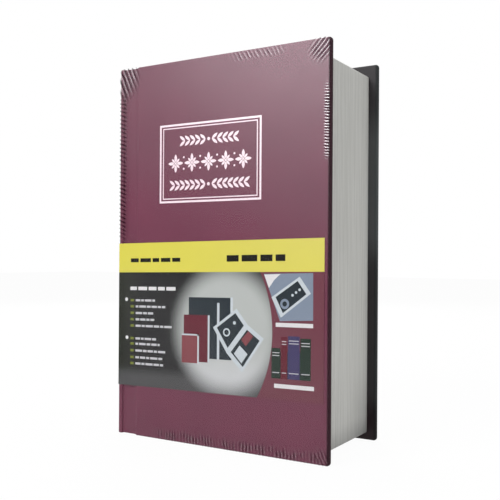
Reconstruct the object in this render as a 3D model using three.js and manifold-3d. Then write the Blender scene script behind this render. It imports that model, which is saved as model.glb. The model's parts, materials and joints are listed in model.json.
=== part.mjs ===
// Book diversion safe: a hardback case around a steel box whose lid has a combination lock.
// Millimetres, +Z up. The book stands on its tail edge with the front cover facing -Y and
// the fore-edge facing +X. The origin is the middle of its footprint.

import * as THREE from 'three'
import { mergeVertices } from 'three/addons/utils/BufferGeometryUtils.js'
import Module from 'manifold-3d'

const wasm = await Module()
wasm.setup()

// Overall size of the closed book

const bookWidth = 115
const bookDepth = 55
const bookHeight = 180

// Case: boards, covering, endpapers and cloth joints

const boardThickness = 2
const wrapThickness = 0.3
const turnIn = 12
const boardCornerRadius = 1.3
const wrapEdgeRadius = 0.8
const spineEdgeRadius = 0.9
const endpaperThickness = 0.15
const endpaperInset = 6.5
const liningThickness = 0.15
const jointWidth = 8.4
const jointShoulder = 0.75
const jointDip = 0.35
const clothThickness = 0.25
const clothInset = 0.3
const clothSteps = 5
const clothShare = 0.5

// Printed label on the front cover

const labelThickness = 0.2
const labelForeInset = 2.5
const labelTopHeight = 94.7
const labelBottomHeight = 25.1
const labelTilt = 1

// Page block

const headSquare = 5.5
const tailSquare = 3.5
const foreEdgeSquare = 4.5
const pageBand = 11
const pageCornerRadius = 0.8
const pageLinePitch = 1.5
const pageLineDepth = 0.25
const coverGap = 0.35

// Steel box and lid

const sheet = 0.8
const boxGap = 0.3
const boxCornerRadius = 2
const rimWidth = 5
const lidGap = 0.4
const lidSeatGap = 0.1
const knuckleRadius = 1.2
const knuckleCount = 9
const knuckleEndInset = 2
const knuckleGap = 0.4
const pinRadius = 0.45
const pinBoreGap = 0.1
const lidHingeGap = 0.4
const beadWidth = 6
const beadLength = 110
const beadDepth = 1
const beadCornerRadius = 2.7
const beadPlaces = [-40, -25]

// Stamped pan in the lid, which holds the lock below the closed cover

const lockX = 8
const panWidth = 44
const panLength = 96
const panDepth = 7
const panCornerRadius = 8
const panFlare = 1
const panDraft = 1
const panFloorRadius = 1.2

// Lock plate

const plateWidth = 37
const plateLength = 89
const plateThickness = 1.2
const plateCornerRadius = 5
const plateBorder = 2
const plateFieldDepth = 0.4
const plateEdge = 0.25
const plateScrewPlaces = [-10, 38]

// Dials and what carries them

const dialRadius = 7.5
const dialWidth = 5.6
const dialPitch = 8
const dialCount = 3
const dialGroupZ = 18
const dialSink = 3.8
const dialDigits = 10
const dialNotchDepth = 0.6
const dialFlatHalfAngle = 13
const dialHubRadius = 3
const dialHubGap = 0.4
const dialSlotGap = 0.6
const dialSideGap = 0.4
const axleRadius = 1.5
const axleBoreGap = 0.15
const dialWebThickness = 2
const dialWebGap = 2.6

// Lock housing

const housingWidth = 28
const housingLow = -40
const housingHigh = 42
const housingDepth = 12
const housingWall = 1.6
const housingCornerRadius = 2
const backPlateThickness = 0.8
const screwWebHalf = 4
const backScrewInset = 3.6
const backScrewLow = -36.8
const backScrewHigh = 38.6
const backScrewRadius = 1
const backScrewHeadRadius = 1.9
const backScrewHeadHeight = 1
const backScrewLength = 6
const bossRadius = 2.2

// Knob, spindle and latch

const knobZ = -28
const knobRadius = 11
const knobSkirt = 2
const knobGripRadius = 9
const knobLobes = 12
const knobLobeDepth = 0.45
const knobPlateGap = 0.3
const knobCoverGap = 0.55
const knobEdge = 0.5
const knobMarkWidth = 1.4
const spindleRadius = 3
const spindleBoreGap = 0.2
const spindleBossRadius = 6
const squareSide = 4.4
const squareGap = 0.15
const threadRadius = 2.1
const camGap = 1.5
const camThickness = 2
const camHubRadius = 6
const camTipRadius = 4.5
const camReach = 28
const camArcSteps = 8
const washerRadius = 5
const washerThickness = 0.5
const nutFlats = 8
const nutThickness = 2.5
const spindleTail = 0.5

// Keeper for the latch on the fore-edge wall of the box

const keeperSheet = 1.2
const keeperEngagement = 3
const keeperLatchGap = 0.4
const keeperHeight = 16
const keeperDrop = 12
const rivetRadius = 1.2
const rivetHeadRadius = 2
const rivetHeadHeight = 0.9
const rivetSpacing = 10
const rivetInset = 7.5

// Detent spring comb and fence bar beside the dials

const springSheet = 0.4
const springFingerWidth = 4
const springTipGap = 0.35
const springBaseWidth = 4
const fenceGap = 0.5
const fenceWidth = 2
const fenceWallGap = 0.9

// Code reset lever on the back of the lock

const resetTravel = 3
const resetStemWidth = 2.4
const resetFootWidth = 8
const resetFootLength = 4.2
const resetFootThickness = 1.3
const resetStemHeight = 2.6
const slideGap = 0.3

// Screws

const screwGap = 0.15
const plateScrewRadius = 1.4
const plateScrewHeadRadius = 2.5
const plateScrewHeadHeight = 1.2
const plateScrewLength = 8
const frameScrewRadius = 1.2
const frameScrewHeadRadius = 2.5
const frameScrewHeadHeight = 1.2
const frameScrewLength = 8
const frameScrewPlaces = [-30, 20]
const frameScrewY = 5

// Planes and edges that follow from the sizes above

const coverThickness = boardThickness + 2 * wrapThickness
const spineX = -bookWidth / 2
const foreX = bookWidth / 2
const coverFace = -bookDepth / 2 + labelThickness
const backFace = bookDepth / 2
const coverInside = coverFace + coverThickness
const backInside = backFace - coverThickness
const pagesFront = coverInside + endpaperThickness + coverGap
const pagesBack = backInside - endpaperThickness
const spineInside = spineX + coverThickness
const boardStart = spineInside + jointWidth
const liningInside = spineInside + liningThickness
const pagesFore = foreX - foreEdgeSquare
const pocketFore = pagesFore - pageBand
const pocketLow = headSquare + pageBand
const pocketHigh = bookHeight - pocketLow
const boxFore = pocketFore - boxGap
const boxLow = pocketLow + boxGap
const boxHigh = pocketHigh - boxGap
const lidTop = pagesFront
const lidUnder = lidTop + sheet
const boxRim = lidUnder + lidSeatGap
const hingeX = liningInside + knuckleRadius
const hingeY = lidUnder - knuckleRadius
const pinBoreRadius = pinRadius + pinBoreGap
const lidStart = hingeX + knuckleRadius + lidHingeGap
const lidFore = pocketFore - lidGap
const lidLow = pocketLow + lidGap
const lidHigh = pocketHigh - lidGap
const lockZ = bookHeight / 2
const panFloor = lidTop + panDepth

// Planes of the lock, measured from the floor of the pan towards the inside of the box

const housingFront = sheet
const housingBack = housingFront + housingDepth
const backPlateBack = housingBack + backPlateThickness
const camFront = backPlateBack + camGap
const camBack = camFront + camThickness
const washerBack = camBack + washerThickness
const nutBack = washerBack + nutThickness
const plateField = -plateThickness + plateFieldDepth
const knobBase = plateField - knobPlateGap
const knobTop = coverInside + endpaperThickness + knobCoverGap - panFloor
const dialFirstZ = dialGroupZ - dialPitch * (dialCount - 1) / 2
const dialLastZ = dialFirstZ + dialPitch * (dialCount - 1)
const backScrewX = housingWidth / 2 - backScrewInset
const dialBayLow = dialFirstZ - dialWidth / 2 - dialWebGap
const dialBayHigh = dialLastZ + dialWidth / 2 + dialWebGap

const halfTurn = Math.PI
const quarterTurn = Math.PI / 2
const degrees = Math.PI / 180
const snap = 10000
const arcSteps = 4
const roundSides = 24
const smallSides = 12
const past = 1

// Outlines

// Points round a rectangle, with the radii of its corners given anticlockwise from low, low
function roundedOutline (left, low, right, high, radii = [0, 0, 0, 0], steps = arcSteps) {
  const corners = [
    [left, low, 1, 1, -halfTurn],
    [right, low, -1, 1, -quarterTurn],
    [right, high, -1, -1, 0],
    [left, high, 1, -1, quarterTurn]
  ]
  const points = []
  corners.forEach(([x, y, inX, inY, start], i) => {
    const radius = radii[i]
    if (radius === 0) {
      points.push(new THREE.Vector2(x, y))
      return
    }
    for (let k = 0; k <= steps; k++) {
      const angle = start + quarterTurn * k / steps
      const centreX = x + inX * radius
      const centreY = y + inY * radius
      points.push(new THREE.Vector2(centreX + radius * Math.cos(angle), centreY + radius * Math.sin(angle)))
    }
  })
  return points
}

function centredOutline (width, height, radius, steps) {
  const corners = [radius, radius, radius, radius]
  return roundedOutline(-width / 2, -height / 2, width / 2, height / 2, corners, steps)
}

function circlePoints (radius, sides, centreX = 0, centreY = 0) {
  return Array.from({ length: sides }, (_, k) => {
    const angle = 2 * halfTurn * (k + 0.5) / sides
    return new THREE.Vector2(centreX + radius * Math.cos(angle), centreY + radius * Math.sin(angle))
  })
}

// Solids

function toSolid (geometry) {
  geometry.deleteAttribute('normal')
  geometry.deleteAttribute('uv')
  const merged = mergeVertices(geometry, 1 / snap)
  return new wasm.Manifold(new wasm.Mesh({
    numProp: 3,
    vertProperties: merged.attributes.position.array,
    triVerts: new Uint32Array(merged.index.array)
  }))
}

function block (left, right, front, back, low, high) {
  const geometry = new THREE.BoxGeometry(right - left, back - front, high - low)
  geometry.translate((left + right) / 2, (front + back) / 2, (low + high) / 2)
  return toSolid(geometry)
}

function extrusion (outline, length, edge = 0) {
  return new THREE.ExtrudeGeometry(new THREE.Shape(outline), {
    depth: length - 2 * edge,
    bevelEnabled: edge > 0,
    bevelThickness: edge,
    bevelSize: edge,
    bevelOffset: -edge,
    bevelSegments: 3
  }).translate(0, 0, edge)
}

// An outline drawn in X and Z, carried from one Y to another
function slabAlongY (outline, front, back, edge = 0) {
  return toSolid(extrusion(outline, back - front, edge).rotateX(quarterTurn).translate(0, back, 0))
}

// An outline drawn in X and Y, carried from one height to another
function slabAlongZ (outline, low, high, edge = 0) {
  return toSolid(extrusion(outline, high - low, edge).translate(0, 0, low))
}

function rodAlongY (radius, front, back, x = 0, z = 0, sides = roundSides) {
  return slabAlongY(circlePoints(radius, sides, x, z), front, back)
}

function rodAlongZ (radius, low, high, x, y, sides = roundSides) {
  return slabAlongZ(circlePoints(radius, sides, x, y), low, high)
}

function rodAlongX (radius, left, right, y, z, sides = smallSides) {
  const geometry = extrusion(circlePoints(radius, sides), right - left)
  return toSolid(geometry.rotateY(quarterTurn).translate(left, y, z))
}

// A skin over a row of outlines with equally many points, each at its own Y, closed at both ends
function loftAlongY (sections) {
  const ringSize = sections[0].outline.length
  const positions = []
  const faces = []
  sections.forEach(({ y, outline }) => outline.forEach(point => positions.push(point.x, y, point.y)))
  for (let ring = 0; ring + 1 < sections.length; ring++) {
    for (let k = 0; k < ringSize; k++) {
      const here = ring * ringSize + k
      const next = ring * ringSize + (k + 1) % ringSize
      faces.push(here, next, next + ringSize, here, next + ringSize, here + ringSize)
    }
  }
  const lastRing = (sections.length - 1) * ringSize
  THREE.ShapeUtils.triangulateShape(sections[0].outline, []).forEach(([a, b, c]) => {
    faces.push(a, c, b)
  })
  THREE.ShapeUtils.triangulateShape(sections.at(-1).outline, []).forEach(([a, b, c]) => {
    faces.push(lastRing + a, lastRing + b, lastRing + c)
  })
  for (let k = 0; k < faces.length; k += 3) {
    [faces[k + 1], faces[k + 2]] = [faces[k + 2], faces[k + 1]]
  }
  const geometry = new THREE.BufferGeometry()
  geometry.setAttribute('position', new THREE.Float32BufferAttribute(positions, 3))
  geometry.setIndex(faces)
  return toSolid(geometry)
}

function joined (solids) {
  return solids.reduce((whole, next) => whole.add(next))
}

function cut (solid, cutters) {
  return cutters.reduce((rest, cutter) => rest.subtract(cutter), solid)
}

// A screw or rivet along Y: its head ends at y = 0 and its shank goes on from there
function fastener (headRadius, headHeight, shankRadius, shankLength) {
  const head = rodAlongY(headRadius, -headHeight, 0, 0, 0, smallSides)
  return head.add(rodAlongY(shankRadius, -headHeight / 2, shankLength, 0, 0, smallSides))
}

// Finishes

function finish (colour, roughness, metalness) {
  return new THREE.MeshStandardMaterial({ color: colour, roughness, metalness })
}

const leatherette = () => finish('#734a58', 0.5, 0)
const greyboard = () => finish('#8d8478', 0.95, 0)
const paper = () => finish('#e9e4d6', 0.9, 0)
const steelPaint = () => finish('#4b4d52', 0.55, 0.3)
const brightSteel = () => finish('#b9bbbd', 0.3, 1)
const zinc = () => finish('#8f9297', 0.4, 0.9)
const blackPlastic = () => finish('#1d1e20', 0.5, 0)

function piece (name, solid, material) {
  const { vertProperties, triVerts } = solid.getMesh()
  const positions = Float32Array.from(vertProperties, value => Math.round(value * snap) / snap)
  const geometry = new THREE.BufferGeometry()
  geometry.setAttribute('position', new THREE.BufferAttribute(positions, 3))
  geometry.setIndex(Array.from(triVerts))
  geometry.computeVertexNormals()
  const mesh = new THREE.Mesh(geometry, material)
  mesh.name = name
  return mesh
}

// Case

// One covered board, built by depth from its outer face. The wrap turns in over three edges,
// and the endpaper steps down between the turn-ins, as pasted paper does.
function coveredBoard (outerFace, inward) {
  const slab = (outline, from, to, edge) => {
    const [front, back] = [outerFace + inward * from, outerFace + inward * to].sort((a, b) => a - b)
    return slabAlongY(outline, front, back, edge)
  }
  const rectangle = (inset, hingeSide, foreRadius) => {
    const outline = [hingeSide, inset, foreX - inset, bookHeight - inset]
    return roundedOutline(...outline, [0, foreRadius, foreRadius, 0])
  }
  const boardDepth = coverThickness - wrapThickness
  const hinge = boardStart + wrapThickness
  const innerRadius = boardCornerRadius - wrapThickness
  const board = slab(rectangle(wrapThickness, hinge, innerRadius), wrapThickness, boardDepth)
  const windowInset = wrapThickness + turnIn
  const turnInWindow = slab(rectangle(windowInset, hinge, 0), boardDepth, coverThickness)
  const outer = slab(rectangle(0, boardStart, boardCornerRadius), 0, coverThickness, wrapEdgeRadius)
  const wrap = cut(outer, [board, turnInWindow])
  const paperFace = coverThickness + endpaperThickness
  const border = slab(rectangle(endpaperInset, hinge, 0), coverThickness, paperFace)
  const tray = slab(rectangle(windowInset, hinge, 0), boardDepth, paperFace)
  const trayInset = windowInset + endpaperThickness
  const trayHollow = rectangle(trayInset, hinge - past, 0)
  const hollow = slab(trayHollow, boardDepth + endpaperThickness, paperFace + past)
  return { board, wrap, endpaper: cut(joined([border, tray]), [hollow]) }
}

// A stretch of the cloth joint, from one share of its width to another
function jointCloth (outerFace, inward, from, to) {
  const outer = []
  const inner = []
  for (let k = 0; k <= clothSteps; k++) {
    const share = from + (to - from) * k / clothSteps
    const x = spineInside + jointWidth * share
    const depth = jointShoulder + jointDip * (1 - (2 * share - 1) ** 4)
    outer.push(new THREE.Vector2(x, outerFace + inward * depth))
    inner.unshift(new THREE.Vector2(x, outerFace + inward * (depth + clothThickness)))
  }
  return slabAlongZ([...outer, ...inner], clothInset, bookHeight - clothInset)
}

function spineParts () {
  const radii = Array(4).fill(spineEdgeRadius)
  const outline = roundedOutline(spineX, coverFace, spineInside, backFace, radii)
  const boardEnd = spineInside - wrapThickness
  const board = block(spineX + wrapThickness, boardEnd, coverFace + wrapThickness,
    backFace - wrapThickness, wrapThickness, bookHeight - wrapThickness)
  const windowLow = wrapThickness + turnIn
  const window = block(boardEnd, spineInside + past, coverInside, backInside,
    windowLow, bookHeight - windowLow)
  const wrap = cut(slabAlongZ(outline, 0, bookHeight, wrapEdgeRadius), [board, window])
  const lining = block(spineInside, liningInside, boxRim, pagesBack, tailSquare, bookHeight - headSquare)
  return { board, wrap, lining }
}

function labelSolid () {
  const left = boardStart + wrapEdgeRadius
  const right = foreX - labelForeInset
  const rise = x => x * Math.tan(labelTilt * degrees)
  const outline = [
    new THREE.Vector2(left, labelBottomHeight + rise(left)),
    new THREE.Vector2(right, labelBottomHeight + rise(right)),
    new THREE.Vector2(right, labelTopHeight + rise(right)),
    new THREE.Vector2(left, labelTopHeight + rise(left))
  ]
  return slabAlongY(outline, coverFace - labelThickness, coverFace)
}

// Page block: one ring open at the spine, its three outer faces lined like stacked pages

function pageFrameSolid () {
  const outlineAt = inset => roundedOutline(liningInside, tailSquare + inset, pagesFore - inset,
    bookHeight - headSquare - inset, [0, pageCornerRadius, pageCornerRadius, 0], 2)
  const lines = Math.round((pagesBack - pagesFront) / pageLinePitch)
  const pitch = (pagesBack - pagesFront) / lines
  const crest = outlineAt(0)
  const valley = outlineAt(pageLineDepth)
  const sections = []
  for (let k = 0; k < lines; k++) {
    const y = pagesFront + k * pitch
    sections.push({ y, outline: crest })
    if (k === lines - 1) continue
    sections.push({ y: y + pitch * 0.6, outline: crest })
    sections.push({ y: y + pitch * 0.8, outline: valley })
  }
  sections.push({ y: pagesBack, outline: crest })
  const pocketRadii = [0, boxCornerRadius, boxCornerRadius, 0]
  const pocketOutline = roundedOutline(liningInside - past, pocketLow, pocketFore, pocketHigh, pocketRadii)
  const pocket = slabAlongY(pocketOutline, pagesFront - past, pagesBack + past)
  return cut(loftAlongY(sections), [pocket, ...frameScrewRods(frameScrewRadius + screwGap, 0, screwGap)])
}

// Rods on the axes of the four screws between box and page block
function frameScrewRods (radius, inward, deeper = 0) {
  const lowSeat = boxLow + sheet
  const highSeat = boxHigh - sheet
  return frameScrewPlaces.flatMap(x => [
    rodAlongZ(radius, lowSeat - frameScrewLength - deeper, lowSeat + inward, x, frameScrewY, smallSides),
    rodAlongZ(radius, highSeat - inward, highSeat + frameScrewLength + deeper, x, frameScrewY, smallSides)
  ])
}

// Rolled knuckles along the hinge: even ones belong to the box, odd ones to the lid

function knuckleSpan (index) {
  const low = boxLow + knuckleEndInset
  const length = (boxHigh - boxLow - 2 * knuckleEndInset) / knuckleCount
  return [low + index * length + knuckleGap / 2, low + (index + 1) * length - knuckleGap / 2]
}

function knuckleRow (first, strap) {
  const solids = []
  for (let index = first; index < knuckleCount; index += 2) {
    const [low, high] = knuckleSpan(index)
    const roll = rodAlongZ(knuckleRadius, low, high, hingeX, hingeY, smallSides)
    solids.push(roll, strap(low, high))
  }
  return solids
}

function pinBore () {
  return rodAlongZ(pinBoreRadius, 0, bookHeight, hingeX, hingeY, smallSides)
}

function boxSolid () {
  const spineWall = liningInside + sheet
  const outlineAt = (inset, radius) => roundedOutline(liningInside + inset, boxLow + inset,
    boxFore - inset, boxHigh - inset, [0, radius, radius, 0])
  const outer = slabAlongY(outlineAt(0, boxCornerRadius), boxRim, pagesBack)
  const inner = slabAlongY(outlineAt(sheet, boxCornerRadius - sheet), boxRim + sheet, pagesBack - sheet)
  const mouth = block(spineWall, boxFore - sheet - rimWidth, boxRim - past, boxRim + sheet + past,
    boxLow + sheet + rimWidth, boxHigh - sheet - rimWidth)
  const strap = (low, high) => block(liningInside, spineWall, hingeY, boxRim, low, high)
  const knuckles = knuckleRow(0, strap)
  const shell = cut(outer, [inner, mouth])
  return cut(joined([shell, ...knuckles]), [
    pinBore(),
    ...frameScrewRods(frameScrewRadius + screwGap, past),
    ...keeperRivetRods(rivetRadius + screwGap, boxFore - sheet - past, boxFore + past)
  ])
}

function pinSolid () {
  return rodAlongZ(pinRadius, boxLow + knuckleEndInset, boxHigh - knuckleEndInset, hingeX, hingeY, smallSides)
}

// A pressed hollow seen from the front, grown by the sheet for its back face
function pressing (x, z, width, length, depth, flare, draft, corner, floorRadius, grow) {
  const level = (down, spread) => {
    const wider = spread + grow
    const outline = centredOutline(width + 2 * wider, length + 2 * wider, corner + wider)
    outline.forEach(point => point.add(new THREE.Vector2(x, z)))
    return { y: lidTop + down, outline }
  }
  const floor = depth + grow
  return loftAlongY([
    level(0, flare),
    level(flare * 0.3, flare * 0.4),
    level(flare, 0),
    level(floor - floorRadius, -draft),
    level(floor - floorRadius * 0.3, -draft - floorRadius * 0.3),
    level(floor, -draft - floorRadius)
  ])
}

function lidSolid () {
  const radii = [0, boxCornerRadius, boxCornerRadius, 0]
  const plate = slabAlongY(roundedOutline(lidStart, lidLow, lidFore, lidHigh, radii), lidTop, lidUnder)
  const strap = (low, high) => block(hingeX, lidStart, lidTop, lidUnder, low, high)
  const pan = grow => pressing(lockX, lockZ, panWidth, panLength, panDepth, panFlare, panDraft,
    panCornerRadius, panFloorRadius, grow)
  const beads = grow => beadPlaces.map(x => pressing(x, lockZ, beadWidth, beadLength, beadDepth,
    beadDepth / 2, 0, beadCornerRadius, beadDepth / 2, grow))
  const metal = joined([plate, ...knuckleRow(1, strap), pan(sheet), ...beads(sheet)])
  const window = block(lockX - dialRadius - dialSlotGap, lockX + dialRadius + dialSlotGap,
    panFloor - past, panFloor + sheet + past, lockZ + dialBayLow + past, lockZ + dialBayHigh - past)
  const bush = rodAlongY(spindleRadius + 2 * spindleBoreGap, panFloor - past, panFloor + sheet + past,
    lockX, lockZ + knobZ)
  const screwHoles = plateScrewPlaces.map(z => rodAlongY(plateScrewRadius + screwGap, panFloor - past,
    panFloor + sheet + past, lockX, lockZ + z, smallSides))
  return cut(metal, [pan(0), ...beads(0), pinBore(), window, bush, ...screwHoles])
}

// Lock, in its own frame: x across, z along the plate, y = 0 on the floor of the pan

function dialPlaces () {
  return Array.from({ length: dialCount }, (_, k) => dialFirstZ + k * dialPitch)
}

function plateScrewRods (radius, front, back) {
  return plateScrewPlaces.map(z => rodAlongY(radius, front, back, 0, z, smallSides))
}

function lockPlateSolid () {
  const plate = slabAlongY(centredOutline(plateWidth, plateLength, plateCornerRadius),
    -plateThickness, 0, plateEdge)
  const fieldOutline = centredOutline(plateWidth - 2 * plateBorder, plateLength - 2 * plateBorder,
    plateCornerRadius - plateBorder / 2)
  const field = slabAlongY(fieldOutline, -plateThickness - past, plateField)
  const slotHalf = Math.sqrt(dialRadius ** 2 - dialSink ** 2) + dialSlotGap
  const slots = dialPlaces().map(z => block(-slotHalf, slotHalf, -plateThickness - past, past,
    z - dialWidth / 2 - dialSideGap, z + dialWidth / 2 + dialSideGap))
  const knobHole = rodAlongY(spindleRadius + 2 * spindleBoreGap, -plateThickness - past, past, 0, knobZ)
  const screwHoles = plateScrewRods(plateScrewRadius + screwGap, -plateThickness - past, past)
  return cut(plate, [field, ...slots, knobHole, ...screwHoles])
}

function backScrewPlaces () {
  return [-backScrewX, backScrewX].flatMap(x => [backScrewLow, backScrewHigh].map(z => [x, z]))
}

function backScrewRods (radius, front, back) {
  return backScrewPlaces().map(([x, z]) => rodAlongY(radius, front, back, x, z, smallSides))
}

function housingSolid () {
  const outline = roundedOutline(-housingWidth / 2, housingLow, housingWidth / 2, housingHigh,
    Array(4).fill(housingCornerRadius))
  const inside = housingWidth / 2 - housingWall
  const bay = (low, high) => block(-inside, inside, housingFront - past, housingBack + past, low, high)
  const midLow = plateScrewPlaces[0] - screwWebHalf
  const midHigh = plateScrewPlaces[0] + screwWebHalf
  const bays = [
    bay(housingLow + housingWall, midLow),
    bay(midHigh, dialBayLow - dialWebThickness),
    bay(dialBayLow, dialBayHigh)
  ]
  const tube = cut(slabAlongY(outline, housingFront, housingBack), bays)
  const boss = rodAlongY(spindleBossRadius, housingFront, housingBack, 0, knobZ)
  const webs = block(-inside - housingWall / 2, inside + housingWall / 2, housingFront, housingBack,
    knobZ - housingWall / 2, knobZ + housingWall / 2)
  const screwBosses = backScrewRods(bossRadius, housingFront, housingBack)
  const body = joined([tube, boss, webs, ...screwBosses])
  return cut(body, [
    rodAlongY(spindleRadius + spindleBoreGap, 0, housingBack + past, 0, knobZ),
    rodAlongZ(axleRadius + axleBoreGap, dialBayLow - dialWebThickness - past,
      dialBayHigh + dialWebThickness, 0, dialSink),
    ...plateScrewRods(plateScrewRadius + screwGap, 0, plateScrewLength + screwGap),
    ...backScrewRods(backScrewRadius + screwGap, backPlateBack - backScrewLength - screwGap,
      housingBack + past)
  ])
}

function resetHome () {
  return plateScrewPlaces[0] + screwWebHalf + slideGap + resetFootLength / 2
}

function backPlateSolid () {
  const outline = roundedOutline(-housingWidth / 2, housingLow, housingWidth / 2, housingHigh,
    Array(4).fill(housingCornerRadius))
  const slotLow = resetHome() - resetStemWidth / 2 - slideGap
  const slotHigh = resetHome() + resetTravel + resetStemWidth / 2 + slideGap
  const slotHalf = resetStemWidth / 2 + slideGap
  return cut(slabAlongY(outline, housingBack, backPlateBack), [
    rodAlongY(spindleRadius + 2 * spindleBoreGap, housingBack - past, backPlateBack + past, 0, knobZ),
    block(-slotHalf, slotHalf, housingBack - past, backPlateBack + past, slotLow, slotHigh),
    ...backScrewRods(backScrewRadius + screwGap, housingBack - past, backPlateBack + past)
  ])
}

// A number wheel: ten flats for the figures, a thumb notch between them, and a hub each side.
// The first flat faces the front.
function dialSolid () {
  const outline = []
  const step = 2 * halfTurn / dialDigits
  for (let digit = 0; digit < dialDigits; digit++) {
    const corner = (turn, radius) => {
      const angle = digit * step - quarterTurn + turn
      outline.push(new THREE.Vector2(radius * Math.cos(angle), radius * Math.sin(angle)))
    }
    corner(-dialFlatHalfAngle * degrees, dialRadius)
    corner(dialFlatHalfAngle * degrees, dialRadius)
    corner(step / 2, dialRadius - dialNotchDepth)
  }
  const wheel = slabAlongZ(outline, -dialWidth / 2, dialWidth / 2)
  const hubHalf = dialPitch / 2 - dialHubGap / 2
  const hub = rodAlongZ(dialHubRadius, -hubHalf, hubHalf, 0, 0, smallSides)
  return cut(wheel.add(hub), [rodAlongZ(axleRadius + axleBoreGap, -dialPitch, dialPitch, 0, 0)])
}

function axleSolid () {
  const end = dialWebThickness - screwGap
  return rodAlongZ(axleRadius, dialBayLow - end, dialBayHigh + end, 0, dialSink)
}

// Leaf spring comb lying on the back plate, one finger bowed up to each dial
function detentSpringSolid () {
  const baseLeft = -housingWidth / 2 + housingWall + screwGap
  const baseRight = baseLeft + springBaseWidth
  const tip = dialSink + dialRadius + springTipGap
  const rest = housingBack - springSheet
  const spine = [[baseRight, rest], [baseRight / 2, (rest + tip) / 2], [0, tip], [-baseRight / 4, rest]]
  const upper = spine.map(([x, y]) => new THREE.Vector2(x, y))
  const lower = spine.map(([x, y]) => new THREE.Vector2(x, y + springSheet)).reverse()
  const fingers = dialPlaces().map(z =>
    slabAlongZ([...upper, ...lower], z - springFingerWidth / 2, z + springFingerWidth / 2))
  const base = block(baseLeft, baseRight, rest, housingBack, dialFirstZ - dialWidth / 2,
    dialLastZ + dialWidth / 2)
  return joined([base, ...fingers])
}

function fenceSolid () {
  const tip = dialRadius + fenceGap
  const barRight = housingWidth / 2 - housingWall - fenceWallGap
  const barLeft = barRight - fenceWidth
  const half = fenceWidth / 2
  const bar = block(barLeft, barRight, dialSink - half, dialSink + half, dialBayLow, dialBayHigh)
  const teeth = dialPlaces().map(z => block(tip, barLeft, dialSink - half / 2, dialSink + half / 2,
    z - half, z + half))
  return joined([bar, ...teeth])
}

// Pieces that turn with the knob, in a frame with its origin on the knob's axis

function knobSolid () {
  const skirtTop = knobBase - knobSkirt
  const skirt = slabAlongY(circlePoints(knobRadius, 36), skirtTop, knobBase, knobEdge)
  const grip = []
  const sides = knobLobes * 6
  for (let k = 0; k < sides; k++) {
    const angle = 2 * halfTurn * k / sides
    const radius = knobGripRadius + knobLobeDepth * Math.cos(knobLobes * angle)
    grip.push(new THREE.Vector2(radius * Math.cos(angle), radius * Math.sin(angle)))
  }
  const head = slabAlongY(grip, knobTop, skirtTop + knobEdge, knobEdge)
  const bore = rodAlongY(spindleRadius + spindleBoreGap, (knobTop + knobBase) / 2, knobBase + past)
  const mark = block(-knobMarkWidth / 2, knobMarkWidth / 2, knobTop - past, knobTop + knobEdge,
    knobGripRadius / 2, knobRadius + past)
  return cut(skirt.add(head), [bore, mark])
}

function spindleSolid () {
  const half = squareSide / 2
  return joined([
    rodAlongY(spindleRadius, (knobTop + knobBase) / 2, camFront),
    block(-half, half, camFront, camBack, -half, half),
    rodAlongY(threadRadius, camBack, nutBack + spindleTail, 0, 0, smallSides)
  ])
}

// Latch arm: a round hub and a round tip joined by the lines that touch both circles
function camSolid () {
  const length = camReach - camTipRadius
  const lean = Math.asin((camHubRadius - camTipRadius) / length)
  const arc = (radius, centreZ, start, sweep) => Array.from({ length: camArcSteps + 1 }, (_, k) => {
    const angle = start + sweep * k / camArcSteps
    return new THREE.Vector2(radius * Math.cos(angle), centreZ + radius * Math.sin(angle))
  })
  const outline = [
    ...arc(camHubRadius, 0, -lean, halfTurn + 2 * lean),
    ...arc(camTipRadius, -length, halfTurn + lean, halfTurn - 2 * lean)
  ]
  const half = squareSide / 2 + squareGap
  const arm = slabAlongY(outline, camFront, camBack)
  return cut(arm, [block(-half, half, camFront - past, camBack + past, -half, half)])
}

function ringAlongY (outer, inner, front, back) {
  return cut(rodAlongY(outer, front, back), [rodAlongY(inner, front - past, back + past, 0, 0, smallSides)])
}

function nutSolid () {
  const corner = nutFlats / Math.sqrt(3)
  const hexagon = slabAlongY(circlePoints(corner, 6), washerBack, nutBack)
  const bore = rodAlongY(threadRadius + screwGap, washerBack - past, nutBack + past, 0, 0, smallSides)
  return cut(hexagon, [bore])
}

function resetLeverSolid () {
  const footBack = housingBack - slideGap
  const foot = block(-resetFootWidth / 2, resetFootWidth / 2, footBack - resetFootThickness, footBack,
    -resetFootLength / 2, resetFootLength / 2)
  const half = resetStemWidth / 2
  const stem = block(-half, half, footBack, backPlateBack + resetStemHeight, -half, half)
  return foot.add(stem)
}

// Keeper: an angle on the fore-edge wall whose leg the latch arm turns behind

function keeperLegBack () {
  return panFloor + camFront - keeperLatchGap
}

function keeperRivetPlaces () {
  const y = keeperLegBack() + rivetInset
  return [-rivetSpacing / 2, rivetSpacing / 2].map(offset => [y, lockZ + knobZ + offset])
}

function keeperRivetRods (radius, left, right) {
  return keeperRivetPlaces().map(([y, z]) => rodAlongX(radius, left, right, y, z))
}

function keeperSolid () {
  const wall = boxFore - sheet
  const face = wall - keeperSheet
  const legBack = keeperLegBack()
  const legFront = legBack - keeperSheet
  const legLeft = lockX + camReach - keeperEngagement
  const low = lockZ + knobZ - keeperHeight / 2
  const high = low + keeperHeight
  const outline = [
    new THREE.Vector2(legLeft, legFront),
    new THREE.Vector2(wall, legFront),
    new THREE.Vector2(wall, legBack + keeperDrop),
    new THREE.Vector2(face, legBack + keeperDrop),
    new THREE.Vector2(face, legBack),
    new THREE.Vector2(legLeft, legBack)
  ]
  const holes = keeperRivetRods(rivetRadius + screwGap, face - past, wall + past)
  return cut(slabAlongZ(outline, low, high), holes)
}

// Assembly

const book = new THREE.Group()

const frontCase = coveredBoard(coverFace, 1)
const backCase = coveredBoard(backFace, -1)
const spine = spineParts()

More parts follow.
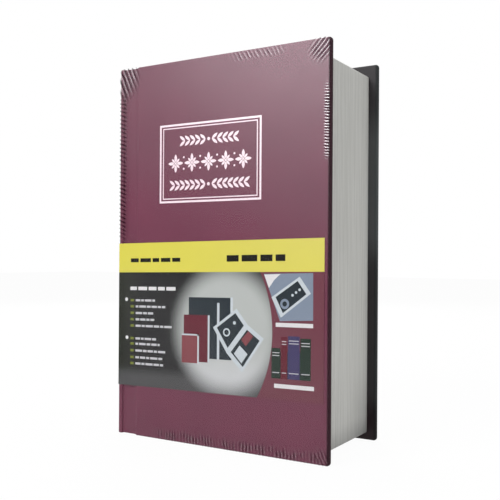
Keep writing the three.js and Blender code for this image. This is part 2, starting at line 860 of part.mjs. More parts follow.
const backCover = new THREE.Group()
backCover.add(
  piece('back_board', backCase.board, greyboard()),
  piece('back_cover_wrap', backCase.wrap, leatherette()),
  piece('back_endpaper', backCase.endpaper, paper()),
  piece('back_joint_cloth', jointCloth(backFace, -1, 0, 1), leatherette()),
  piece('spine_board', spine.board, greyboard()),
  piece('spine_wrap', spine.wrap, leatherette()),
  piece('spine_lining', spine.lining, paper())
)

const frontCover = new THREE.Group()
frontCover.add(
  piece('front_board', frontCase.board, greyboard()),
  piece('front_cover_wrap', frontCase.wrap, leatherette()),
  piece('front_endpaper', frontCase.endpaper, paper()),
  piece('front_label', labelSolid(), finish('#dcd95c', 0.35, 0))
)

const frontJoint = new THREE.Group()
frontJoint.add(
  piece('front_joint_cloth_spine_side', jointCloth(coverFace, 1, 0, clothShare), leatherette()),
  piece('front_joint_cloth_cover_side', jointCloth(coverFace, 1, clothShare, 1), leatherette())
)

const safe = new THREE.Group()
safe.add(
  piece('page_frame', pageFrameSolid(), finish('#b4b5ae', 0.85, 0)),
  piece('steel_box', boxSolid(), steelPaint()),
  piece('hinge_pin', pinSolid(), brightSteel()),
  piece('latch_keeper', keeperSolid(), zinc())
)

frameScrewPlaces.forEach((x, index) => {
  const screw = fastener(frameScrewHeadRadius, frameScrewHeadHeight, frameScrewRadius, frameScrewLength)
  const low = piece(`frame_screw_tail_${index + 1}`, screw.rotate([-90, 0, 0]), zinc())
  low.position.set(x, frameScrewY, boxLow + sheet)
  const high = piece(`frame_screw_head_${index + 1}`, screw.rotate([90, 0, 0]), zinc())
  high.position.set(x, frameScrewY, boxHigh - sheet)
  safe.add(low, high)
})

keeperRivetPlaces().forEach(([y, z], index) => {
  const length = keeperSheet + sheet
  const rivet = fastener(rivetHeadRadius, rivetHeadHeight, rivetRadius, length)
  const mesh = piece(`keeper_rivet_${index + 1}`, rivet.rotate([0, 0, -90]), brightSteel())
  mesh.position.set(boxFore - length, y, z)
  safe.add(mesh)
})

const turning = new THREE.Group()
turning.position.set(0, 0, knobZ)
turning.add(
  piece('turn_knob', knobSolid(), blackPlastic()),
  piece('knob_spindle', spindleSolid(), brightSteel()),
  piece('latch_cam', camSolid(), zinc()),
  piece('cam_washer', ringAlongY(washerRadius, threadRadius + screwGap, camBack, washerBack), zinc()),
  piece('cam_nut', nutSolid(), zinc())
)

const lock = new THREE.Group()
lock.position.set(lockX, panFloor, lockZ)
lock.add(
  piece('lock_plate', lockPlateSolid(), zinc()),
  piece('lock_housing', housingSolid(), zinc()),
  piece('housing_back_plate', backPlateSolid(), zinc()),
  piece('dial_axle', axleSolid(), brightSteel()),
  piece('detent_spring', detentSpringSolid(), brightSteel()),
  piece('fence_bar', fenceSolid(), brightSteel()),
  turning
)

dialPlaces().forEach((z, index) => {
  const dial = piece(`number_dial_${index + 1}`, dialSolid(), blackPlastic())
  dial.position.set(0, dialSink, z)
  lock.add(dial)
})

plateScrewPlaces.forEach((z, index) => {
  const length = plateScrewLength - plateField
  const screw = fastener(plateScrewHeadRadius, plateScrewHeadHeight, plateScrewRadius, length)
  const mesh = piece(`plate_screw_${index + 1}`, screw, brightSteel())
  mesh.position.set(0, plateField, z)
  lock.add(mesh)
})

backScrewPlaces().forEach(([x, z], index) => {
  const screw = fastener(backScrewHeadRadius, backScrewHeadHeight, backScrewRadius, backScrewLength)
  const mesh = piece(`back_plate_screw_${index + 1}`, screw.rotate([0, 0, 180]), brightSteel())
  mesh.position.set(x, backPlateBack, z)
  lock.add(mesh)
})

const resetLever = piece('reset_lever', resetLeverSolid(), zinc())
resetLever.position.set(0, 0, resetHome())
lock.add(resetLever)

const lid = new THREE.Group()
lid.add(piece('steel_lid', lidSolid(), steelPaint()), lock)

book.add(backCover, safe, lid, frontCover, frontJoint)

export default book
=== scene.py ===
# %% [markdown]
# # A safe that hides in a book
#
# The object is a hardback book case around a steel box. The solids come from the packed
# model, already in their places. Here they get their finishes, and the pieces that are too
# thin or too fine for solids are added: foil, print, film, cloth and screw heads.
#
# Everything is in metres. The book stands on its tail edge, the front cover faces -Y and
# the fore-edge faces +X. Sizes below are written in millimetres and multiplied by `mm`.

import json
import math

import bmesh
import bpy
from mathutils import Matrix, Vector


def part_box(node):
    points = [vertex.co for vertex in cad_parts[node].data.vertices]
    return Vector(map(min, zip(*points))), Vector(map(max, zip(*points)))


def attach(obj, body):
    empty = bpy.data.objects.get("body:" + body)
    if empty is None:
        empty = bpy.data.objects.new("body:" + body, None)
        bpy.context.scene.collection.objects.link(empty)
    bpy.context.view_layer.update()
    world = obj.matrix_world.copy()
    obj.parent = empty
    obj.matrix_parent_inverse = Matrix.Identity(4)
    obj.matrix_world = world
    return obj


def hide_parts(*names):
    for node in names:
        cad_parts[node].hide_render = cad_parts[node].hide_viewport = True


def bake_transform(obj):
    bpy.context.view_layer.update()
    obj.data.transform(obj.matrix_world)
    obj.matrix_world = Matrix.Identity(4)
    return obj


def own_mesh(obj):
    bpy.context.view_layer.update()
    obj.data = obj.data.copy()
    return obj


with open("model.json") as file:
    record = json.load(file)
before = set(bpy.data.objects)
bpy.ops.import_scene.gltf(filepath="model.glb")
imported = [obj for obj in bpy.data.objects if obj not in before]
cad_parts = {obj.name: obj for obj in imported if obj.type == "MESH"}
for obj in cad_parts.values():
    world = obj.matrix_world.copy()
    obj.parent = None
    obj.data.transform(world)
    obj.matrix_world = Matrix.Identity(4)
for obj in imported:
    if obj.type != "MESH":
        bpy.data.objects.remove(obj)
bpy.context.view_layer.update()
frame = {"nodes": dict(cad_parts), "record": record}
nodes = frame["nodes"]
mm = 0.001
cover_left, cover_right, cover_height, middle_height = -57.5, 57.5, 180, 90

# %% [markdown]
# ## The camera
#
# A camera can be found from a photograph of a box of known size: its corners fix where the
# lens stood. The values below come from the edges of both covers. The lens axis isn't quite
# in the middle of the picture, and a small shift allows for it.

# %% Place the camera
picture_side = 500
focal_pixels = 742.6
axis_pixel = (254.5, 255.4)
yaw, pitch, roll = (math.radians(angle) for angle in (30.883, 0.198, 0.359))
lens_place = Vector((189.4, -309.3, 87.0)) * mm

forward = Vector((
    -math.sin(yaw) * math.cos(pitch),
    math.cos(yaw) * math.cos(pitch),
    math.sin(pitch),
))
level = Vector((math.cos(yaw), math.sin(yaw), 0))
upright = level.cross(forward)
right = level * math.cos(roll) + upright * math.sin(roll)
up = upright * math.cos(roll) - level * math.sin(roll)

camera_data = bpy.data.cameras.new("photo_camera")
camera_data.lens = camera_data.sensor_width * focal_pixels / picture_side
camera_data.shift_x = (picture_side / 2 - axis_pixel[0]) / picture_side
camera_data.shift_y = (axis_pixel[1] - picture_side / 2) / picture_side
camera_data.clip_start = 10 * mm
camera = bpy.data.objects.new("photo_camera", camera_data)
camera_axes = Matrix((right, up, -forward)).transposed().to_4x4()
camera.matrix_world = Matrix.Translation(lens_place) @ camera_axes
bpy.context.scene.collection.objects.link(camera)
bpy.context.scene.camera = camera
shift = (round(camera_data.shift_x, 3), round(camera_data.shift_y, 3))
print("lens:", round(camera_data.lens, 1), "mm, shift:", shift)

# %% [markdown]
# ## Shader maths as Python expressions
#
# A procedural finish is arithmetic on the place of a point. Written node by node it is hard
# to follow, so a small class wraps a socket: adding or multiplying two of them adds the Math
# node. Every other node comes from one method of the finish that it belongs to.

# %% A socket that does arithmetic, and a finish that makes nodes
class Value:
    def __init__(self, finish, socket):
        self.finish = finish
        self.socket = socket

    def maths(self, operation, *operands):
        return self.finish.node("Math", dict(enumerate(operands)), operation=operation)

    def __add__(self, other):
        return self.maths("ADD", self, other)

    def __sub__(self, other):
        return self.maths("SUBTRACT", self, other)

    def __rsub__(self, other):
        return self.maths("SUBTRACT", other, self)

    def __mul__(self, other):
        return self.maths("MULTIPLY", self, other)

    def __truediv__(self, other):
        return self.maths("DIVIDE", self, other)

    def __pow__(self, other):
        return self.maths("POWER", self, other)

    def __abs__(self):
        return self.maths("ABSOLUTE", self)

    __radd__ = __add__
    __rmul__ = __mul__

    def sine(self):
        return self.maths("SINE", self)

    def larger(self, other):
        return self.maths("MAXIMUM", self, other)

    def smaller(self, other):
        return self.maths("MINIMUM", self, other)


class Finish:
    """A material, or the world, whose nodes are made by the methods below."""

    def __init__(self, name, kept_in=bpy.data.materials, last_node="OutputMaterial"):
        self.data = kept_in.new(name)
        self.data.use_nodes = True
        self.tree = self.data.node_tree
        self.tree.nodes.clear()
        self.last_node = last_node

    def node(self, kind, inputs=(), output=0, **settings):
        made = self.tree.nodes.new("ShaderNode" + kind)
        for name, setting in settings.items():
            setattr(made, name, setting)
        for name, value in dict(inputs).items():
            if isinstance(value, Value):
                self.tree.links.new(value.socket, made.inputs[name])
            else:
                made.inputs[name].default_value = value
        return Value(self, made.outputs[output])

    def place(self):
        return self.node("TexCoord", output="Object")

    def axes(self):
        place = self.place()
        return [self.node("SeparateXYZ", {0: place}, output=k) * 1000 for k in range(3)]

    def step(self, value, start, end):
        """0 where value is before start, 1 after end, both in millimetres."""
        return self.node("MapRange", {0: value, 1: start, 2: end}, interpolation_type="SMOOTHSTEP")

    def between(self, value, low, high, soft):
        """1 between low and high, with ends that fade over twice soft."""
        after_low = self.step(value, low - soft, low + soft)
        return after_low * self.step(value, high + soft, high - soft)

    def noise(self, scale, detail, stretch=(1, 1, 1)):
        """Scale is in features for each metre. Stretch above 1 squeezes along that axis."""
        placed = self.node("Mapping", {"Vector": self.place(), "Scale": stretch})
        return self.node("TexNoise", {"Vector": placed, "Scale": scale, "Detail": detail})

    def mix(self, factor, first, second):
        return self.node("Mix", {0: factor, 6: first, 7: second}, output=2, data_type="RGBA")

    def bump(self, height, depth_mm, strength, over=None):
        inputs = {"Height": height, "Distance": depth_mm * mm, "Strength": strength}
        if over is not None:
            inputs["Normal"] = over
        return self.node("Bump", inputs)

    def principled(self, **inputs):
        named = {name.replace("_", " "): value for name, value in inputs.items()}
        return self.node("BsdfPrincipled", named)

    def show(self, shader):
        surface = self.tree.nodes.new("ShaderNode" + self.last_node)
        self.tree.links.new(shader.socket, surface.inputs["Surface"])
        print("finish:", self.data.name, len(self.tree.nodes), "nodes")


def colour(red, green, blue):
    """A linear colour from the sRGB numbers that a colour picker shows."""
    linear = []
    for part in (red / 255, green / 255, blue / 255):
        linear.append(part / 12.92 if part <= 0.04045 else ((part + 0.055) / 1.055) ** 2.4)
    return (*linear, 1)


print("helpers ready")

# %% [markdown]
# ## Light and backdrop
#
# Product pictures on white are lit by large soft boxes and a white surround. The strongest
# box hangs high at the left of the camera, a little behind it, and lights the cover. Weaker
# ones light the page edges, the back and the top. They are large and far off, so they are
# placed in metres.
#
# The white of the floor and the surround is seen by the camera and by reflections only, so
# that it doesn't add to the light on the book.

# %% Soft boxes, surround and floor
def soft_box(name, place, aim, width, height, watts):
    data = bpy.data.lights.new(name, "AREA")
    data.shape = "RECTANGLE"
    data.size, data.size_y, data.energy = width, height, watts
    lamp = bpy.data.objects.new(name, data)
    lamp.location = place
    lamp.rotation_euler = (Vector(aim) - Vector(place)).to_track_quat("-Z", "Y").to_euler()
    bpy.context.scene.collection.objects.link(lamp)
    print("lamp:", name, watts, "W")


def seen_directly(finish):
    """1 for rays from the camera, a mirror or the film, and 0 for light that falls on things."""
    camera_ray, mirror_ray, film_ray = (
        finish.node("LightPath", output=f"Is {kind} Ray")
        for kind in ("Camera", "Glossy", "Transmission"))
    return camera_ray.larger(mirror_ray).larger(film_ray)


# Name, place, aim, width, height, watts.
soft_box("key_box", (-0.27, -0.94, 0.78), (0.0, 0.0, 0.10), 0.6, 0.5, 8.6)
soft_box("side_box", (0.75, 0.05, 0.55), (0.03, 0.0, 0.09), 0.4, 0.5, 0.9)
soft_box("rear_box", (-0.55, 0.80, 0.50), (0.0, 0.0, 0.09), 0.6, 0.6, 5.0)
soft_box("top_box", (0.0, 0.1, 1.0), (0.0, 0.0, 0.1), 0.6, 0.6, 3.0)

white = (1, 1, 1, 1)
fill_strength = 0.25
floor_glow = 0.965
surround = Finish("white_surround", bpy.data.worlds, "OutputWorld")
bpy.context.scene.world = surround.data
fill = surround.node("Background", {"Color": white, "Strength": fill_strength})
backdrop = surround.node("Background", {"Color": white, "Strength": 1.0})
surround.show(surround.node("MixShader", {0: seen_directly(surround), 1: fill, 2: backdrop}))

floor_finish = Finish("white_floor")
lit = floor_finish.principled(Base_Color=(0.9, 0.9, 0.9, 1), Roughness=0.9)
glow = floor_finish.node("Emission", {"Color": white})
glowing_share = seen_directly(floor_finish) * floor_glow
floor_finish.show(floor_finish.node("MixShader", {0: glowing_share, 1: lit, 2: glow}))

floor_mesh = bmesh.new()
bmesh.ops.create_grid(floor_mesh, x_segments=1, y_segments=1, size=3.0)
floor_data = bpy.data.meshes.new("white_floor")
floor_mesh.to_mesh(floor_data)
floor_mesh.free()
floor_data.materials.append(floor_finish.data)
floor = bpy.data.objects.new("white_floor", floor_data)
floor.location.z = -0.2 * mm
bpy.context.scene.collection.objects.link(floor)
print("floor at", floor.location.z)

# %% [markdown]
# ## Leatherette
#
# The case is covered with paper-backed leatherette: a pressed grain of small soft cells with
# finer pores between them. The cells come from a smooth Voronoi texture and the pores from
# noise. Both only move the light a little, because the real pressing is shallow. Broad, faint
# clouds in colour and gloss keep the large flat covers from looking painted. Over the edges of
# the boards the colour is darkened as painted shade. The strip that is turned in over the
# inside of the back board is painted in shade: dark grey, nearly black at the tail, and less
# dark above the middle.

# %% Maroon leatherette
leather = Finish("maroon_leatherette")
cell_inputs = {"Vector": leather.place(), "Scale": 2900.0, "Smoothness": 0.6}
cells = leather.node("TexVoronoi", cell_inputs, feature="SMOOTH_F1")
pores = leather.noise(5200.0, detail=2.0)
clouds = leather.noise(34.0, detail=4.0)
grain = cells * 0.8 + pores * 0.35
worn = leather.mix(clouds, colour(99, 46, 67), colour(117, 58, 79))
in_pores = leather.mix(0.07, worn, colour(20, 4, 10))
pressed = leather.mix(leather.step(grain, 0.25, 0.75), in_pores, worn)
x, y, z = leather.axes()
# Painted shade: the leatherette over the fore-edges and the ends of the boards is darkened.
over_fore_edge = leather.step(x, 55.9, 56.8) * 0.88
over_ends = leather.step(abs(z - middle_height), 89.7, 89.95) * 0.4
on_edge = over_fore_edge.larger(over_ends)
# Painted shade: the turned-in strip is dark grey, nearly black at the tail, less dark above the
# middle.
turned_in = leather.step(x, -46.8, -46.5) * leather.between(y, 24.4, 27.2, 0.1)
edge_painted_shade = leather.mix(on_edge, pressed, colour(24, 6, 14))
shaded = leather.mix(leather.step(z, 10, 24), colour(6, 6, 6), colour(42, 47, 47))
turn_in_painted_shade = leather.mix(leather.between(z, 90, 152, 12), shaded, colour(80, 86, 86))
leather.show(leather.principled(
    Base_Color=leather.mix(turned_in * 0.93, edge_painted_shade, turn_in_painted_shade),
    Roughness=clouds * 0.14 + 0.48 + on_edge * 0.3,
    Specular_IOR_Level=0.28,
    Normal=leather.bump(grain, 0.007, 0.25),
))

# %% [markdown]
# ## Board, endpapers and the printed page ring
#
# Grey board is pulped paper with flecks. Endpaper is smooth, off-white and slightly mottled.
# The page block is one moulded ring, lined all round to look like stacked pages: its lines
# lie across the thickness of the book, so the pattern is squeezed along Y and long along the
# other two directions. On the fore-edge, next to the front cover, a painted reflection gives
# them a little of the cover's colour, and painted shade darkens them towards the tail.

# %% Paper finishes
board = Finish("grey_board")
flecks = board.noise(1400.0, detail=5.0)
board.show(board.principled(
    Base_Color=board.mix(flecks, colour(118, 108, 94), colour(160, 150, 134)),
    Roughness=0.95,
    Normal=board.bump(flecks, 0.08, 0.6),
))

endpaper = Finish("cream_endpaper")
mottle = endpaper.noise(160.0, detail=5.0)
fibres = endpaper.noise(2600.0, detail=2.0)
endpaper.show(endpaper.principled(
    Base_Color=endpaper.mix(mottle, colour(226, 219, 200), colour(238, 233, 218)),
    Roughness=0.85,
    Normal=endpaper.bump(fibres, 0.02, 0.4),
))

pages = Finish("page_lines")
fine_lines = pages.noise(3400.0, detail=1.0, stretch=(0.01, 1, 0.008))
broad_lines = pages.noise(620.0, detail=2.0, stretch=(0.03, 1, 0.02))
smudges = pages.noise(45.0, detail=4.0, stretch=(1, 0.5, 0.6))
lines = fine_lines * 0.6 + broad_lines * 0.4
tone = pages.mix(pages.step(lines, 0.30, 0.70), colour(201, 201, 196), colour(223, 223, 219))
aged = pages.mix(smudges * 0.25, tone, colour(184, 184, 180))
x, y, z = pages.axes()
fore_edge = pages.step(x, 52.4, 52.9)
# Painted reflection: a pink cast of the front cover's colour on the fore-edge beside it.
cover_painted_reflection = pages.mix(fore_edge * pages.step(y, -19.5, -23.5) * 0.45, aged, colour(232, 214, 222))
# Painted shade: darker towards the tail, and low down on the half nearer the back cover.
painted_shade_and_handling = pages.step(z, 14, 2) * 0.45 + pages.step(z, 40, 6) * pages.step(y, 2, 24) * 0.4
tail_painted_shade = pages.mix(fore_edge * painted_shade_and_handling * (smudges + 0.4), cover_painted_reflection, colour(96, 96, 98))
pages.show(pages.principled(
    Base_Color=tail_painted_shade,
    Roughness=0.62 - fine_lines * 0.15,
    Normal=pages.bump(lines, 0.10, 0.7),
))

# %% [markdown]
# ## Metals and mouldings of the safe
#
# The box and lid are powder coated, which shows as a fine even orange peel. Small hardware is
# zinc plated, turned parts are bright, and the lock's front plate is brushed along its
# length. The dials and the knob are black mouldings with a fine spark-eroded texture.

# %% Metal and plastic finishes
paint = Finish("grey_powder_coat")
peel = paint.noise(1500.0, detail=2.0)
speck = paint.noise(5200.0, detail=1.0)
paint.show(paint.principled(
    Base_Color=paint.mix(paint.step(speck, 0.42, 0.6), colour(66, 68, 73), colour(78, 80, 86)),
    Roughness=peel * 0.2 + 0.38,
    Normal=paint.bump(peel + speck * 0.3, 0.05, 0.6),
))

plating = Finish("zinc_plating")
spangle = plating.noise(260.0, detail=4.0)
scuffs = plating.noise(900.0, detail=3.0, stretch=(1, 1, 0.08))
plating.show(plating.principled(
    Base_Color=plating.mix(spangle, colour(160, 164, 168), colour(186, 187, 184)),
    Metallic=1.0,
    Roughness=scuffs * 0.25 + 0.26,
    Normal=plating.bump(scuffs, 0.01, 0.4),
))

turned = Finish("bright_turned_steel")
tool_marks = turned.noise(1800.0, detail=2.0, stretch=(1, 0.2, 1))
turned.show(turned.principled(
    Base_Color=turned.mix(tool_marks, colour(188, 189, 191), colour(214, 214, 214)),
    Metallic=1.0,
    Roughness=tool_marks * 0.2 + 0.16,
    Normal=turned.bump(tool_marks, 0.008, 0.4),
))

brushed = Finish("brushed_lock_plate")
strokes = brushed.noise(2400.0, detail=3.0, stretch=(1, 1, 0.02))
brushed.show(brushed.principled(
    Base_Color=brushed.mix(strokes, colour(138, 141, 146), colour(172, 174, 178)),
    Metallic=1.0,
    Roughness=strokes * 0.22 + 0.26,
    Normal=brushed.bump(strokes, 0.012, 0.6),
))

moulding = Finish("black_moulding")
spark = moulding.noise(3600.0, detail=2.0)
painted_shade_and_handling = moulding.noise(90.0, detail=3.0)
moulding.show(moulding.principled(
    Base_Color=moulding.mix(painted_shade_and_handling, colour(24, 24, 26), colour(34, 34, 37)),
    Roughness=painted_shade_and_handling * 0.18 + 0.36,
    Normal=moulding.bump(spark, 0.02, 0.5),
))

# %% [markdown]
# ## The label's ground
#
# The paper label is a yellow band over a dark panel, with a pale round glow in the middle and
# a maroon field at its right that ends in an arc. All of it is drawn from distances, so it
# stays sharp at any size. The label was laid on one degree out of level, and the drawing is
# levelled by taking that slope out of Z first.

# %% Printed label
label_slope = math.tan(math.radians(1))
label_front = -27.5
glow_place, glow_reach, glow_squash = (6, 54), 27, 0.99
arc_place, arc_radius = (-28.4, 54), 58.5

label = Finish("printed_label")
across, _, height = label.axes()
level_height = height - across * label_slope


def distance(x, z, place):
    return ((x - place[0]) ** 2 + (z - place[1]) ** 2) ** 0.5


squashed_height = (level_height - glow_place[1]) * glow_squash + glow_place[1]
from_glow = distance(across, squashed_height, glow_place) / glow_reach
from_arc = distance(across, level_height, arc_place)
tints = label.noise(55.0, detail=3.0)
night = label.mix(label.step(across, -40, -57), colour(25, 25, 29), colour(26, 30, 22))
panel = label.mix(label.step(level_height, 36, 29), night, colour(76, 76, 78))
middle = label.mix(label.step(level_height, 50, 30), colour(186, 190, 188), colour(206, 208, 210))
glowing = label.mix(label.step(from_glow, 1.24, 0.76), panel, middle)
past_arc = label.step(from_arc, arc_radius - 0.1, arc_radius + 0.1)
fielded = label.mix(past_arc, glowing, colour(113, 59, 73))
band = label.mix(label.step(across, -58, 55), colour(221, 212, 83), colour(225, 215, 100))
banded = label.mix(label.step(level_height, 80.4, 80.5), fielded, band)
label.show(label.principled(
    Base_Color=label.mix(tints * 0.12, banded, colour(120, 120, 112)),
    Roughness=tints * 0.1 + 0.40,
    Specular_IOR_Level=0.12,
    Normal=label.bump(label.noise(70.0, detail=2.0), 0.12, 0.5),
))

# %% [markdown]
# ## Inks and foil
#
# The frame on the cover is hot-stamped in a pale foil, which mirrors the white surround and
# is a little broken where the grain lets it go. The small marks on the label are flat inks,
# one finish for each colour, from one short function.

# %% Foil and inks
foil = Finish("pale_foil")
breaks = foil.noise(2600.0, detail=2.0)
unbroken = foil.step(breaks, 0.30, 0.42)
foil.show(foil.principled(
    Base_Color=foil.mix(unbroken, colour(196, 150, 166), colour(248, 228, 236)),
    Metallic=0.55,
    Roughness=breaks * 0.2 + 0.24,
    Normal=foil.bump(breaks, 0.015, 0.5),
))


def ink(name, shade):
    """A flat printing ink with a faint dot mottle."""
    made = Finish(name)
    dots = made.noise(1800.0, detail=1.0)
    darker = tuple(0.86 * part for part in shade[:3]) + (1,)
    made.show(made.principled(
        Base_Color=made.mix(dots, darker, shade),
        Roughness=dots * 0.08 + 0.40,
        Specular_IOR_Level=0.12,
    ))
    return made


inks = {
    "black": ink("black_ink", colour(26, 25, 20)),
    "white": ink("white_ink", colour(232, 230, 232)),
    "lilac": ink("lilac_ink", colour(206, 205, 210)),
    "olive": ink("olive_ink", colour(122, 130, 56)),
    "slate": ink("slate_ink", colour(46, 54, 60)),
    "maroon": ink("maroon_ink", colour(104, 42, 54)),
    "rose": ink("rose_ink", colour(136, 74, 80)),
    "steel": ink("steel_ink", colour(136, 148, 166)),
    "pale": ink("pale_ink", colour(206, 214, 220)),
    "violet": ink("violet_ink", colour(72, 66, 104)),
    "green": ink("green_ink", colour(44, 58, 50)),
}

# %% [markdown]
# ## Shrink film
#
# Clear film is a thin sheet that lets nearly all light through and mirrors a little of it. A
# Mix Shader between Transparent and a mirror-like Principled node gives just that, and its
# factor is how much mirrors.
#
# Where the film was gathered it lies in fine creases: short ripples square to the edges, and
# fans of folds at the corners. A sine of the place across them makes such creases, and noise
# lets them wander. Each crease has a painted highlight on one flank, where the film mirrors
# more, and painted shade on the other, which lets less light through; a mask keeps them where
# the film is gathered. Between the creases the film has a faint painted glare, strongest
# towards the head and the right, weakest across the middle, a little stronger at the tail and
# in the upper left corner.

# %% Clear film with creases
film = Finish("clear_shrink_film")
along, _, rise = film.axes()
from_left, from_right = along - cover_left, cover_right - along
from_top, from_bottom = cover_height - rise, rise


def creases(across_degrees, pitch_mm, wobble_mm):
    """Waves from -1 to 1 that follow each other in a direction, wandering a little."""
    angle = math.radians(across_degrees)
    place = along * math.cos(angle) + rise * math.sin(angle)
    drift = film.noise(110.0, detail=2.0) * wobble_mm
    return ((place + drift) * (2 * math.pi / pitch_mm)).sine()


def corner_fan(side, end, reach, spread):
    """1 near the diagonal of a corner, fading with the distance from it."""
    far = (side * side + end * end) ** 0.5
    off = abs(side - end)
    inside = film.step(far, reach, reach * 0.6) * film.step(off, spread, spread * 0.4)
    return inside * film.step(far, 0.6, 1.6)


def edge_strip(from_edge, across, place, length):
    """1 in a strip beside an edge. Across and length are low, high and soft, in millimetres."""
    return film.between(from_edge, *across) * film.between(place, *length)


patchy = film.step(film.noise(300.0, detail=3.0), 0.42, 0.58)
upper_left = edge_strip(from_left, (0.2, 4.2, 0.8), rise, (97, 165, 5)) * (patchy * 0.5 + 0.5)
upper_right = edge_strip(from_right, (0.4, 2.6, 0.9), rise, (131, 158, 5)) * (patchy + 0.6)
top = edge_strip(from_top, (0.9, 4.2, 1.2), along, (10, 33, 5)) * (patchy * 0.3 + 0.2)
bottom = edge_strip(from_bottom, (0.8, 4.5, 2.0), along, (-34, 52, 6)) * (patchy * 0.6 + 0.15)
top_right = corner_fan(from_right, from_top, 13.5, 9.0) * (patchy * 0.3 + 0.7)
top_left = corner_fan(from_left * 0.9, from_top * 0.7, 13.5, 13.0) * (patchy * 0.2 + 0.8)
bottom_right = corner_fan(from_right, from_bottom, 10.0, 6.0) * 0.45
gathered = [
    (creases(82, 1.2, 1.2), upper_right, 0.17, 0.6),
    (creases(72, 1.9, 1.5), upper_left, 0.01, 0.4),
    (creases(30, 1.8, 2.0), top, 0.07, 0.36),
    (creases(2, 1.7, 2.0), bottom, 0.075, 0.44),
    (creases(-43, 1.7, 1.4), top_right, 0.052, 0.55),
    (creases(25, 2.3, 1.2), top_left, 0.035, 0.46),
    (creases(25, 1.6, 2.0), bottom_right, 0.07, 0.44),
]
# Painted highlight on the bright flank of each crease, painted shade on the dark flank.
bright, dark, folds = 0, 0, 0
for wave, where, glint, shade in gathered:
    bright = film.step(wave, 0.1, 1.0) * where * glint + bright
    dark = film.step(wave, 0.1, -0.9) * where * shade + dark
    folds = wave * where + folds
# Painted glare: the film mirrors more by place, most towards the head and the right.
tilt = rise + along * 0.35
sheen = film.step(tilt, 88, 130) + film.step(tilt, 88, 40) * 0.8
high_left = film.step(rise, 145, 178) * film.step(along, 25, -40)
glare = bright + sheen * (film.step(from_left, 2, 7) * 0.006 + 0.0085) + high_left * 0.008
most_mirrored = 0.5
off_rim = film.step(from_right, 0.4, 1.2)
mirrored = (glare + dark).smaller(most_mirrored) * off_rim

slack = film.noise(26.0, detail=2.0)
mirror = film.principled(
    Base_Color=film.mix(dark / (glare + dark), (0.96, 0.94, 0.96, 1), (0.01, 0.0, 0.004, 1)),
    Metallic=1.0,
    Roughness=slack * 0.1 + 0.26,
    Normal=film.bump(folds, 0.12, 0.6, over=film.bump(slack, 0.5, 0.5)),
)
clear = film.node("BsdfTransparent")
film.show(film.node("MixShader", {0: mirrored, 1: clear, 2: mirror}))

# %% [markdown]
# ## Dress the solids
#
# The solids that already have the right shape keep it and only get their finish. The record
# of the model says which finish each node has, so one table is enough.

# %% Put the finishes on the solids
finish_of_slot = {
    "leatherette": leather,
    "greyboard": board,
    "endpaper": endpaper,
    "label_print": label,
    "page_block": pages,
    "painted_steel": paint,
    "bright_steel": turned,
    "zinc_plate": plating,
    "satin_zinc": brushed,
    "dial_plastic": moulding,
    "knob_plastic": moulding,
}
slot_of_node = {part["node"]: part["material_slot"] for part in frame["record"]["subparts"]}
for name, solid in nodes.items():
    solid.data.materials.clear()
    solid.data.materials.append(finish_of_slot[slot_of_node[name]].data)
print("dressed:", len(nodes), "solids")

# %% [markdown]
# ## Thin pieces that face the front
#
# Foil and ink are flat shapes with hardly any thickness. They are drawn flat, as on a table,
# and then stood up: a quarter turn about X takes the top of a drawing to the top of the
# cover and its face to -Y. Everything that ends a piece is in one helper.

# %% Helpers for pieces
stand_up = Matrix.Rotation(math.radians(90), 4, "X")
tilt_label = Matrix.Identity(4)
tilt_label[2][0] = label_slope


def at(x, y, z):
    return Matrix.Translation(Vector((x, y, z)) * mm)


def sized(x, y, z=1.0):
    return Matrix.Diagonal((x, y, z, 1.0))


def turned_by(degrees):
    return Matrix.Rotation(math.radians(degrees), 4, "Z")


def keep(shape, name, finishes, body=None, replaced=(), smooth_below=None):
    """Makes a mesh of the shape, gives it its finishes, and lets it ride on a body."""
    data = bpy.data.meshes.new(name)
    shape.to_mesh(data)
    shape.free()
    for one in finishes:
        data.materials.append(one.data)
    if smooth_below is not None:
        data.shade_smooth()
        data.set_sharp_from_angle(angle=math.radians(smooth_below))
    piece = bpy.data.objects.new(name, data)
    bpy.context.scene.collection.objects.link(piece)
    if body:
        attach(piece, body)
    if replaced:
        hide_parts(*replaced)
    print("piece:", name, len(data.polygons), "faces on", body)
    return piece


def flat_shape(shape, segments, place, pinch=1.0, number=0):
    """A closed flat shape of the given number of sides, at the place that the matrix says."""
    made = bmesh.ops.create_circle(shape, cap_ends=True, segments=segments, radius=1.0)
    for corner in made["verts"]:
        corner.co.y *= abs(corner.co.y) ** (pinch - 1)
    bmesh.ops.transform(shape, matrix=place, verts=made["verts"])
    for face in {face for corner in made["verts"] for face in corner.link_faces}:
        face.material_index = number


def thicken(shape, depth_mm):
    """Raises every flat face towards the front by its depth."""
    raised = bmesh.ops.extrude_face_region(shape, geom=shape.faces[:])
    corners = [item for item in raised["geom"] if isinstance(item, bmesh.types.BMVert)]
    bmesh.ops.translate(shape, vec=Vector((0, -depth_mm * mm, 0)), verts=corners)
    bmesh.ops.recalc_face_normals(shape, faces=shape.faces[:])


print("piece helpers ready")

# %% [markdown]
# ## The foil frame on the cover
#
# The title panel is two rules, a thick one outside and a thin one inside. Each rule is a
# rectangle whose face is inset by the width of the rule and then deleted.

# %% Stamp the frame
cover_face = -27.3
foil_depth = 0.03
frame_middle = (-4.2, 131.4)
outer_rule, inner_rule = (56.4, 37.2, 0.95), (52.6, 33.8, 0.5)  # width, height, line
on_frame = at(frame_middle[0], cover_face, frame_middle[1]) @ stand_up


